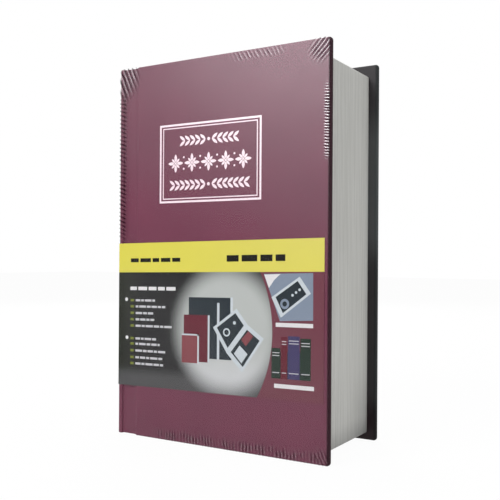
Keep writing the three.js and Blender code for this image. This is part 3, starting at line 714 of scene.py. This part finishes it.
def rule(shape, width, tall, line):
    made = bmesh.ops.create_grid(shape, x_segments=1, y_segments=1, size=0.5)
    bmesh.ops.transform(shape, matrix=sized(width * mm, tall * mm), verts=made["verts"])
    face = made["verts"][0].link_faces[0]
    bmesh.ops.inset_region(
        shape, faces=[face], thickness=line * mm, use_boundary=True, use_even_offset=True)
    bmesh.ops.delete(shape, geom=[face], context="FACES")


frame_rules = bmesh.new()
rule(frame_rules, *outer_rule)
rule(frame_rules, *inner_rule)
bmesh.ops.transform(frame_rules, matrix=on_frame, verts=frame_rules.verts)
thicken(frame_rules, foil_depth)
keep(frame_rules, "foil_frame", [foil], "front_cover")

# %% [markdown]
# ## The foil ornament
#
# Three lines of ornament fill the frame: a laurel spray, a row of rosettes and a second
# spray. A leaf is a circle whose sides are pinched in, so that it comes to two points.

# %% Stamp the ornament
rosette_pitch, rosette_reach = 9.4, 4.3
spray_height, leaf_pitch, leaf_length = 10.4, 2.9, 3.9
dot_height, dot_radius = 2.7, 0.5


def leaf(shape, x, z, length, width, degrees):
    place = at(x, z, 0) @ turned_by(degrees) @ sized(length / 2 * mm, width / 2 * mm)
    flat_shape(shape, 20, place, pinch=1.9)


def dot(shape, x, z, radius):
    flat_shape(shape, 20, at(x, z, 0) @ sized(radius * mm, radius * mm))


def rosette(shape, x, z, reach):
    for petal in range(8):
        degrees = 45 * petal
        angle = math.radians(degrees)
        long = reach if petal % 2 == 0 else reach * 0.72
        out = long * 0.58
        petal_x, petal_z = x + out * math.cos(angle), z + out * math.sin(angle)
        leaf(shape, petal_x, petal_z, long * 0.86, long * 0.36, degrees)
    dot(shape, x, z, reach * 0.13)


def laurel(shape, z, leaves, pitch, length):
    dot(shape, 0, z, length * 0.2)
    for side in (-1, 1):
        for k in range(leaves):
            x = side * (length * 0.55 + k * pitch)
            for lift in (-1, 1):
                leaf_x, leaf_z = x + side * length * 0.3, z + lift * length * 0.3
                leaf(shape, leaf_x, leaf_z, length, length * 0.36, side * lift * 38)


ornament = bmesh.new()
laurel(ornament, spray_height, 5, leaf_pitch, leaf_length)
for k in range(-2, 3):
    rosette(ornament, k * rosette_pitch, 0.0, rosette_reach)
for k in range(-2, 2):
    dot(ornament, (k + 0.5) * rosette_pitch, dot_height, dot_radius)
    dot(ornament, (k + 0.5) * rosette_pitch, -dot_height, dot_radius)
laurel(ornament, -spray_height, 7, leaf_pitch, leaf_length)
bmesh.ops.transform(ornament, matrix=on_frame, verts=ornament.verts)
thicken(ornament, foil_depth)
keep(ornament, "foil_ornament", [foil], "front_cover")

# %% [markdown]
# ## Joints between spine and cover
#
# A hardback opens along a strip of bare cloth that is pressed into a groove. In front it is
# two solids that meet in the middle, because the lid of the safe turns with one and the cover
# with the other. Strips of fine mesh replace them. The label runs across the groove as well,
# nearly flat, so it gets strips of its own.
#
# A strip is a grid that is laid onto a profile and then given its thickness. Paper, print and
# film can't fold as tightly as the cloth does under the open cover, so on that side they ride
# on the front cover.

# %% Cloth and label over the joint
joint_start, joint_middle, joint_end = -54.9, -50.7, -46.5
label_left, label_low, label_high = -45.7, 25.1, 94.7
label_spine_end = cover_left + 0.2
strip_columns, strip_rows = 36, 20
groove_rim, groove_drop = 0.75, 0.35
cloth_low, cloth_high, cloth_thickness = 0.3, 179.7, 0.25
paper_thickness = 0.2
spans = {  # start and end of the joint's half, outer end of its label, the bodies at its ends
    "spine_side": (joint_start, joint_middle, label_spine_end, "case_and_box", "lid"),
    "cover_side": (joint_middle, joint_end, label_left, "lid", "front_cover"),
}


def groove(x):
    share = (x - joint_start) / (joint_end - joint_start)
    return groove_rim + groove_drop * (1 - (2 * share - 1) ** 4)


def strip(start, end, low, high, depth, thickness):
    """A sheet between two places along X, lying at its depth below the cover face."""
    shape = bmesh.new()
    bmesh.ops.create_grid(shape, x_segments=strip_columns, y_segments=strip_rows, size=0.5)
    for corner in shape.verts:
        x = start + (end - start) * (corner.co.x + 0.5)
        z = low(x) + (high(x) - low(x)) * (corner.co.y + 0.5)
        corner.co = Vector((x, cover_face + depth(x) + thickness, z)) * mm
    thicken(shape, thickness)
    return shape


def cloth_strip(start, end):
    return strip(start, end, lambda x: cloth_low, lambda x: cloth_high, groove, cloth_thickness)


def paper_strip(start, end):
    def low(x):
        return label_low + label_slope * x

    def high(x):
        return label_high + label_slope * x

    return strip(start, end, low, high, lambda x: -paper_thickness, paper_thickness)


def bend(piece):
    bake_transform(piece)


def draw_back(piece):
    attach(piece, "front_cover")
    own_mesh(piece)


def follow(piece, side):
    """On the cover side the piece rides on the front cover; elsewhere it stays as it lies."""
    if side == "cover_side":
        draw_back(piece)
    else:
        bend(piece)


for side, (start, end, label_end, first, second) in spans.items():
    cloth = keep(
        cloth_strip(start, end), "joint_cloth_" + side, [leather],
        replaced=["front_joint_cloth_" + side], smooth_below=40)
    bend(cloth)
    paper = keep(
        paper_strip(*sorted((joint_middle, label_end))), "label_over_joint_" + side, [label],
        smooth_below=40)
    follow(paper, side)

# %% [markdown]
# ## Printed marks on the label
#
# Over the ground lie lines of greeked words, small tilted tiles and two small pictures. None
# of it says anything: words are bars, and the pictures are plain drawings of books and boxes.
# Each mark is a grid of one face, moved to its four corners and given its own ink. A mark
# that lies on another one is lifted about a hundredth of a millimetre higher. The print is
# cut at the joint, and the marks there are placed as the paper under them is.

# %% Print the marks
marks = bmesh.new()
ink_names = list(inks)
layer_height = 0.009


def tile(name, corners, layer=0):
    """A flat four-cornered mark, from its corners in order round."""
    made = bmesh.ops.create_grid(marks, x_segments=1, y_segments=1, size=0.5)
    order = [(-1, -1), (1, -1), (1, 1), (-1, 1)]
    for corner in made["verts"]:
        x, z = corners[order.index((round(corner.co.x * 2), round(corner.co.y * 2)))]
        corner.co = Vector((x, z, layer * layer_height)) * mm
    made["verts"][0].link_faces[0].material_index = ink_names.index(name)


def bar(name, left, right, low, high, layer=0):
    tile(name, [(left, low), (right, low), (right, high), (left, high)], layer)


def disc(name, x, z, radius, layer=0):
    place = at(x, z, layer * layer_height) @ sized(radius * mm, radius * mm)
    flat_shape(marks, 28, place, number=ink_names.index(name))


def words(name, left, right, middle, tall, widths):
    """A line of words, greeked: bars of changing width until the line is full."""
    gap = tall * 0.55
    x, k = left, 0
    while x < right - tall:
        width = min(widths[k % len(widths)] * tall, right - x)
        bar(name, x, x + width, middle - tall / 2, middle + tall / 2)
        x, k = x + width + gap, k + 1


words("black", -49.8, -19.8, 86.3, 1.9, [2.6, 3.4, 2.1, 3.0])
words("black", 6.2, 36.4, 86.6, 2.9, [2.2, 2.8, 2.1])
words("white", -50.0, -21.6, 72.6, 1.7, [2.4, 3.2, 2.8])

# Each line of the two lists has its height on the cover and its right end.
list_words = [2.7, 1.6, 3.9, 2.2, 3.1]
first_group = [(66.8, -34.7), (63.8, -28.5), (60.6, -35.1), (57.5, -35.1), (54.4, -23.1)]
second_group = [(48.2, -33.4), (45.6, -31.7), (42.3, -27.5), (39.0, -29.6), (36.0, -28.7)]
for k, (middle, right_end) in enumerate(first_group + second_group):
    widths = list_words[k % len(list_words):] + [1.8, 4.2]
    words("lilac", -46.6, right_end, middle, 1.05, widths)
    bar("olive", -49.8, -47.7, middle - 0.6, middle + 0.6)
disc("white", -52.4, 67.2, 0.9)
disc("white", -52.0, 48.5, 0.9)

bar("slate", -14.7, 9.1, 40.7, 68.8)
bar("maroon", -17.5, -3.9, 38.9, 60.6, 1)
bar("rose", -18.6, -9.7, 38.2, 51.0, 2)
bar("pale", 1.2, 2.5, 40.7, 66.4, 1)
bar("pale", 8.4, 9.7, 62.0, 69.0, 1)
bar("pale", -3.9, -2.9, 39.3, 60.6, 2)
bar("pale", -9.7, -8.8, 38.2, 51.7, 3)
bar("pale", -18.6, -8.8, 51.0, 51.7, 3)


def box_drawing(corners, layer):
    """An open box seen from above: a pale rim round a dark floor."""
    middle = [sum(corner[k] for corner in corners) / 4 for k in range(2)]
    floor_corners = [
        tuple(0.78 * corner[k] + 0.22 * middle[k] for k in range(2)) for corner in corners]
    tile("pale", corners, layer)
    tile("slate", floor_corners, layer + 1)


box_drawing([(6.6, 43.7), (17.5, 57.0), (11.7, 64.0), (-1.0, 55.2)], 2)
disc("pale", 6.4, 53.2, 1.9, 4)
disc("slate", 6.4, 53.2, 1.2, 5)
disc("pale", 10.6, 57.6, 0.8, 4)
box_drawing([(14.8, 35.6), (25.9, 51.1), (17.5, 57.0), (6.6, 43.7)], 2)
tile("rose", [(16.6, 47.4), (20.4, 51.8), (18.0, 54.2), (14.2, 50.2)], 4)
tile("pale", [(14.4, 39.6), (17.6, 43.9), (13.4, 47.6), (10.4, 43.8)], 4)
tile("steel", [(33.9, 59.1), (49.9, 59.8), (49.8, 79.9), (25.7, 79.6)])
tile("white", [(25.9, 79.3), (28.3, 73.4), (31.0, 77.0), (34.0, 79.5)], 1)
box_drawing([(34.3, 60.6), (48.8, 71.2), (43.4, 78.4), (29.6, 69.4)], 1)
disc("steel", 36.2, 66.6, 2.2, 3)
disc("slate", 36.2, 66.6, 1.1, 4)
for k in range(3):
    disc("pale", 40.0 + 1.7 * k, 70.4 + 1.2 * k, 0.6, 3)
bar("white", 31.8, 49.9, 56.6, 58.4)
shelf_height = 34.2
bar("slate", 29.8, 48.9, shelf_height, 46.0)
books = [  # ink, left, right, top
    ("green", 29.8, 34.2, 47.4), ("maroon", 34.4, 37.6, 52.4),
    ("violet", 37.9, 43.6, 52.8), ("green", 43.9, 48.9, 52.0),
]
for name, left, right, high in books:
    bar(name, left, right, shelf_height, high, 1)
    for band_height in (high - 2.2, high - 3.4, 36.6):
        bar("lilac", left + 0.5, right - 0.5, band_height, band_height + 0.35, 2)
bar("white", 31.2, 50.5, 30.1, 31.9)

bmesh.ops.transform(marks, matrix=at(0, label_front, 0) @ tilt_label @ stand_up, verts=marks.verts)
thicken(marks, layer_height)


def cut_out(shape, low, high, bends=0):
    """The stretch of a shape between two places along X, cut across where it has to bend."""
    stretch = shape.copy()
    planes = [(low, -1, True), (high, 1, True)]
    planes += [(low + (high - low) * k / (bends + 1), 1, False) for k in range(1, bends + 1)]
    for place, side, clear in planes:
        everything = stretch.verts[:] + stretch.edges[:] + stretch.faces[:]
        bmesh.ops.bisect_plane(
            stretch, geom=everything, plane_co=(place * mm, 0, 0), plane_no=(side, 0, 0),
            clear_outer=clear)
    open_edges = [edge for edge in stretch.edges if edge.is_boundary]
    bmesh.ops.holes_fill(stretch, edges=open_edges, sides=0)
    return stretch


all_inks = list(inks.values())
print_bends = 17
cover_marks = cut_out(marks, joint_end, cover_right)
keep(cover_marks, "label_marks", all_inks, "front_cover")
for side, (start, end, *_) in spans.items():
    joint_marks = cut_out(marks, start, end, print_bends)
    follow(keep(joint_marks, "label_marks_" + side, all_inks), side)
marks.free()

# %% [markdown]
# ## The film
#
# The film is a cube without its back and its foot: it covers the front cover, turns over the
# head and the side edges in a small round, and ends a little behind them. Over the joint it
# is cut into strips that follow as the label does.

# %% Wrap the film
film_front, film_proud, film_back, film_thickness = -27.6, 0.12, -27.1, 0.03
film_low, film_round, film_cuts = 0.05, 0.45, 9


def film_shell(start, end, fore_side, spine_side):
    """The film from start to end along X, turned over at the sides that are outer edges."""
    shape = bmesh.new()
    made = bmesh.ops.create_cube(shape, size=1.0)
    low = Vector((start, film_front, film_low))
    high = Vector((end, film_back, cover_height + film_proud))
    placed = at(*((low + high) / 2)) @ sized(*((high - low) * mm))
    bmesh.ops.transform(shape, matrix=placed, verts=made["verts"])
    open_sides = [Vector((0, 1, 0)), Vector((0, 0, -1))]
    open_sides += [] if fore_side else [Vector((1, 0, 0))]
    open_sides += [] if spine_side else [Vector((-1, 0, 0))]
    shape.normal_update()
    gone = [
        face for face in shape.faces if any(face.normal.dot(side) > 0.9 for side in open_sides)]
    bmesh.ops.delete(shape, geom=gone, context="FACES")
    folds = [edge for edge in shape.edges if len(edge.link_faces) == 2]
    bmesh.ops.bevel(
        shape, geom=folds, offset=film_round * mm, offset_type="OFFSET", affect="EDGES",
        segments=4, profile=0.5, material=-1)
    if not fore_side:
        least = 0.8 * (end - start) * mm
        lengthwise = [
            edge for edge in shape.edges
            if abs(edge.verts[0].co.x - edge.verts[1].co.x) > least]
        bmesh.ops.subdivide_edges(shape, edges=lengthwise, cuts=film_cuts, use_grid_fill=True)
    bmesh.ops.recalc_face_normals(shape, faces=shape.faces[:])
    bmesh.ops.solidify(shape, geom=shape.faces[:], thickness=film_thickness * mm)
    return shape


sheet = film_shell(joint_end, cover_right + film_proud, True, False)
keep(sheet, "film_over_cover", [film], "front_cover", smooth_below=40)
film_spans = {
    "cover_side": (joint_middle, joint_end, False, False),
    "spine_side": (cover_left - film_proud, joint_middle, False, True),
}
for side, span in film_spans.items():
    sheet = film_shell(*span)
    follow(keep(sheet, "film_over_joint_" + side, [film], smooth_below=40), side)

# %% [markdown]
# ## Screw and rivet heads
#
# A round head with a cross recess starts from a square grid that is pulled into a disc, so
# that the cross is simply its middle row and column. Those faces are pushed in and drawn
# together a little, which gives the sloping walls of the recess. The rim is drawn down into
# the side of the head and then into the shank.

# %% Turn the screws and rivets
head_rows, cross_reach = 11, 3
dome, recess_depth, recess_taper = 0.55, 0.62, 0.82


def in_cross(middle):
    """True for the faces of the middle row and column that are near the middle."""
    half = 1 / head_rows
    short, long = sorted((abs(middle.x), abs(middle.y)))
    return short < half and long < 2 * cross_reach * half


def fastener(node, toward, head_height, shank_radius, body, finish, crossed=True):
    low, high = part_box(node)
    along_axis = max(range(3), key=lambda k: abs(toward[k]))
    span = high - low
    length = span[along_axis]
    radius = max(span[k] for k in range(3) if k != along_axis) / 2
    tip = (low + high) / 2
    tip[along_axis] = high[along_axis] if toward[along_axis] > 0 else low[along_axis]
    shape = bmesh.new()
    bmesh.ops.create_grid(shape, x_segments=head_rows, y_segments=head_rows, size=1.0)
    for corner in shape.verts:
        u, v = corner.co.x, corner.co.y
        corner.co.x, corner.co.y = u * math.sqrt(1 - v * v / 2), v * math.sqrt(1 - u * u / 2)
    rim = [edge for edge in shape.edges if len(edge.link_faces) == 1]
    recess = [face for face in shape.faces if in_cross(face.calc_center_median())]
    for corner in shape.verts:
        corner.co.z = -dome * head_height / radius * (corner.co.x ** 2 + corner.co.y ** 2) * mm
    if crossed:
        sunk = bmesh.ops.extrude_face_region(shape, geom=recess)
        bmesh.ops.delete(shape, geom=recess, context="FACES_ONLY")
        floor_corners = [item for item in sunk["geom"] if isinstance(item, bmesh.types.BMVert)]
        bmesh.ops.scale(shape, vec=(recess_taper, recess_taper, 0), verts=floor_corners)
        recess_floor = (0, 0, -recess_depth * head_height / radius * mm)
        bmesh.ops.translate(shape, vec=recess_floor, verts=floor_corners)
    shank = shank_radius * mm / radius
    for scale_by, drop in ((1.0, -head_height), (shank, -head_height), (1.0, -length / mm)):
        drawn = bmesh.ops.extrude_edge_only(shape, edges=rim)
        ring = [item for item in drawn["geom"] if isinstance(item, bmesh.types.BMVert)]
        edges = [item for item in drawn["geom"] if isinstance(item, bmesh.types.BMEdge)]
        rim = [edge for edge in edges if all(end in ring for end in edge.verts)]
        bmesh.ops.scale(shape, vec=(scale_by, scale_by, 1), verts=ring)
        for corner in ring:
            corner.co.z = drop * mm / radius
    bmesh.ops.holes_fill(shape, edges=rim, sides=0)
    turn = Vector((0, 0, 1)).rotation_difference(Vector(toward)).to_matrix().to_4x4()
    placed = Matrix.Translation(tip) @ turn @ sized(radius, radius, radius)
    bmesh.ops.transform(shape, matrix=placed, verts=shape.verts)
    bmesh.ops.recalc_face_normals(shape, faces=shape.faces[:])
    keep(shape, "turned_" + node, [finish], body, [node], smooth_below=38)


frame_screws = {"tail": (0, 0, 1), "head": (0, 0, -1)}
for number in (1, 2):
    fastener(f"plate_screw_{number}", (0, -1, 0), 1.2, 1.4, "lid", turned)
    for end, toward in frame_screws.items():
        node = f"frame_screw_{end}_{number}"
        fastener(node, toward, 1.2, 1.2, "case_and_box", plating)
    node = f"keeper_rivet_{number}"
    fastener(node, (-1, 0, 0), 0.9, 1.2, "case_and_box", turned, crossed=False)
for number in (1, 2, 3, 4):
    fastener(f"back_plate_screw_{number}", (0, 1, 0), 1.0, 1.0, "lid", turned)
print("screws done")

# %% [markdown]
# ## Numbers on the dials
#
# Each dial has ten flats with a number on each. The numbers are text that becomes a mesh,
# and a turn about the dial's own axis puts each one on its flat.

# %% Number the dials
dial_axis_x, dial_axis_y, dial_radius, half_flat_degrees = 8, -13.4, 7.5, 13
flat_distance = dial_radius * math.cos(math.radians(half_flat_degrees))
dial_heights = {"dial_1": 100, "dial_2": 108, "dial_3": 116}
figure_height, figure_depth = 4.2, 0.04


def figure(shape, text, size, place):
    """Adds a figure that lies flat at the place."""
    curve = bpy.data.curves.new("figure", "FONT")
    curve.body, curve.size = text, size * mm
    curve.align_x, curve.align_y = "CENTER", "CENTER"
    writing = bpy.data.objects.new("figure", curve)
    data = bpy.data.meshes.new_from_object(writing)
    data.transform(place)
    shape.from_mesh(data)
    bpy.data.objects.remove(writing)
    bpy.data.curves.remove(curve)
    bpy.data.meshes.remove(data)


def raise_figures(shape, depth_mm):
    """Raises flat figures away from the axis of the dial."""
    raised = bmesh.ops.extrude_face_region(shape, geom=shape.faces[:])
    axis = Vector((dial_axis_x, dial_axis_y, 0)) * mm
    for item in raised["geom"]:
        if isinstance(item, bmesh.types.BMVert):
            outward = Vector((item.co.x - axis.x, item.co.y - axis.y, 0)).normalized()
            item.co += outward * depth_mm * mm


for dial, dial_height in dial_heights.items():
    figures = bmesh.new()
    for digit in range(10):
        on_dial = at(dial_axis_x, dial_axis_y, dial_height) @ turned_by(36 * digit)
        on_flat = on_dial @ at(0, -flat_distance, 0) @ stand_up
        figure(figures, str(digit), figure_height, on_flat)
    raise_figures(figures, figure_depth)
    bmesh.ops.recalc_face_normals(figures, faces=figures.faces[:])
    keep(figures, "numbers_" + dial, [inks["white"]], dial)

# %% [markdown]
# ## Marks on the lock
#
# Two small arrows beside each dial show which number counts, and white paint fills the slot
# of the knob.

# %% Paint the marks
arrow_out, arrow_size, arrow_depth, plate_face = 8.4, (0.95, 0.85), 0.03, -18.0
knob_mark_middle, knob_mark_size, knob_mark_round = (8, -23.7, 69.6), (1.3, 0.4, 5.6), 0.12

arrows = bmesh.new()
for dial_height in dial_heights.values():
    for side in (-1, 1):
        pointed = at(side * arrow_out, dial_height, 0) @ turned_by(90 + side * 90)
        flat_shape(arrows, 3, pointed @ sized(*(part * mm for part in arrow_size)))
bmesh.ops.transform(arrows, matrix=at(dial_axis_x, plate_face, 0) @ stand_up, verts=arrows.verts)
thicken(arrows, arrow_depth)
keep(arrows, "dial_arrows", [inks["black"]], "lid")

knob_mark = bmesh.new()
made = bmesh.ops.create_cube(knob_mark, size=1.0)
in_slot = at(*knob_mark_middle) @ sized(*(part * mm for part in knob_mark_size))
bmesh.ops.transform(knob_mark, matrix=in_slot, verts=made["verts"])
bmesh.ops.bevel(
    knob_mark, geom=knob_mark.edges[:], offset=knob_mark_round * mm, offset_type="OFFSET",
    affect="EDGES", segments=2, profile=0.5, material=-1)
keep(knob_mark, "knob_mark_paint", [inks["white"]], "knob", smooth_below=40)

# %% The colour view
bpy.context.scene.view_settings.view_transform = "Standard"
